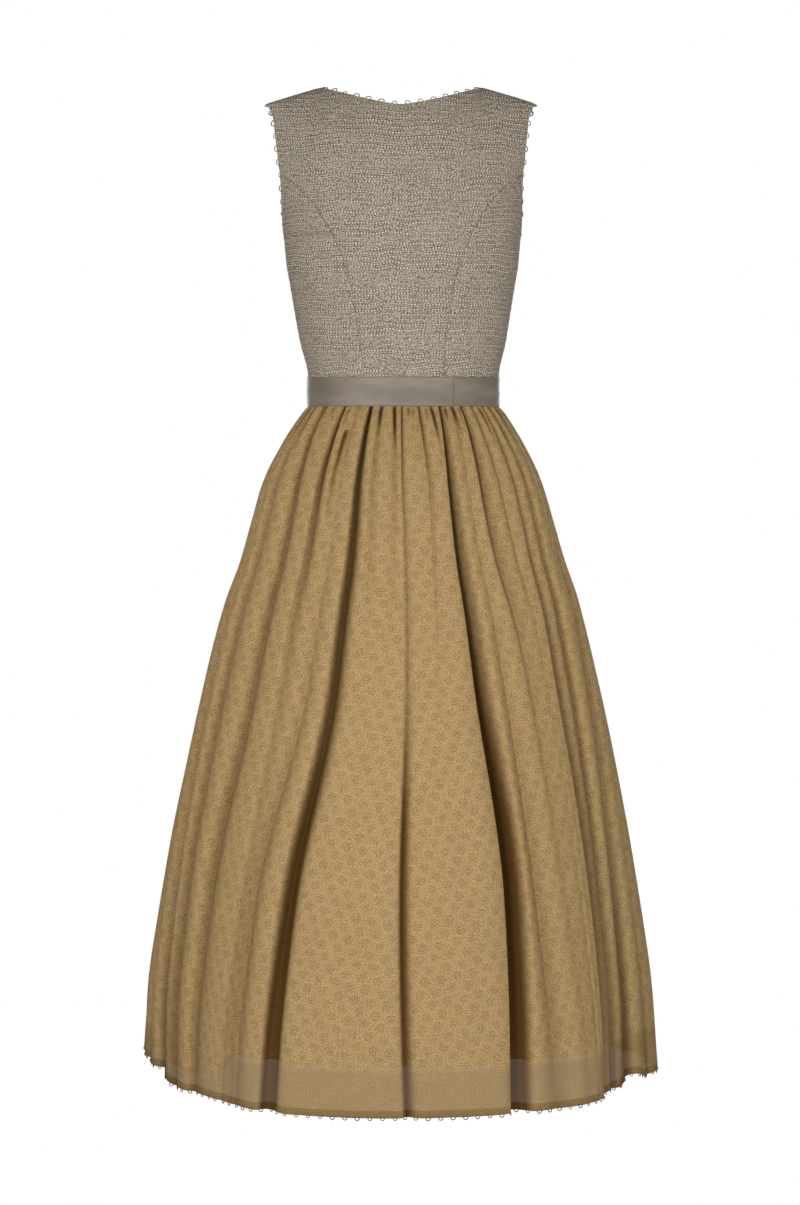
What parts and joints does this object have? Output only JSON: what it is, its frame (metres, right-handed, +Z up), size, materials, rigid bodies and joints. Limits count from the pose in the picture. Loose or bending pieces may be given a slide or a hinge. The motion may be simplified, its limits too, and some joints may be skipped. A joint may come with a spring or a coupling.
{
  "type": "dirndl",
  "caption": "Sleeveless folk dress: fitted princess-seamed bodice, satin waistband and long gathered skirt of sheer patterned cloth over an opaque underskirt.",
  "frame": {"origin": "midway between the neck ends of the two shoulder seams, where the wearer's shoulders carry the dress", "axes": "+Z up along the wearer's back, +X to the wearer's left, -Y to the front, so the back faces +Y"},
  "size_m": [0.6673, 0.6048, 1.2657],
  "materials": {
    "bodice_cloth": "boucle tweed",
    "band_satin": "satin ribbon",
    "skirt_organza": "sheer patterned organza",
    "underskirt_taffeta": "plain taffeta",
    "picot_thread": "twisted thread"
  },
  "bodies": {
    "root": {"bodice_back_centre": "bodice_cloth", "bodice_back_side_left": "bodice_cloth", "bodice_back_side_right": "bodice_cloth", "bodice_front_left": "bodice_cloth", "bodice_front_right": "bodice_cloth", "bodice_front_side_left": "bodice_cloth", "bodice_front_side_right": "bodice_cloth", "waistband": "band_satin", "skirt_back_left": "skirt_organza", "skirt_back_right": "skirt_organza", "skirt_front_left": "skirt_organza", "skirt_front_right": "skirt_organza", "underskirt": "underskirt_taffeta", "neck_picots": "picot_thread", "armhole_left_picots": "picot_thread", "armhole_right_picots": "picot_thread", "hem_picots": "picot_thread"}
  },
  "joints": []
}
